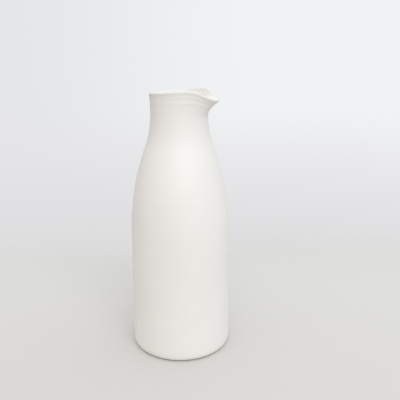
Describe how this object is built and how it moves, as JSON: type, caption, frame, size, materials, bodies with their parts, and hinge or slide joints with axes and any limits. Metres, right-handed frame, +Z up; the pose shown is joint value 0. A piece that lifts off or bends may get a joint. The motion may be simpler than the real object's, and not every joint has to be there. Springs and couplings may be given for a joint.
{
  "type": "cream jug",
  "caption": "Milk-bottle shaped ceramic jug with a pulled pouring spout, for serving cream or milk at the table.",
  "frame": {"origin": "middle of the foot, in the plane of the surface that the jug stands on", "axes": "+Z up along the axis of the jug, +X towards the tip of the spout, so the jug is symmetric about the XZ plane"},
  "size_m": [0.0784, 0.0784, 0.2029],
  "materials": {
    "glaze": "satin"
  },
  "bodies": {
    "root": {"jug": "glaze"}
  },
  "joints": []
}
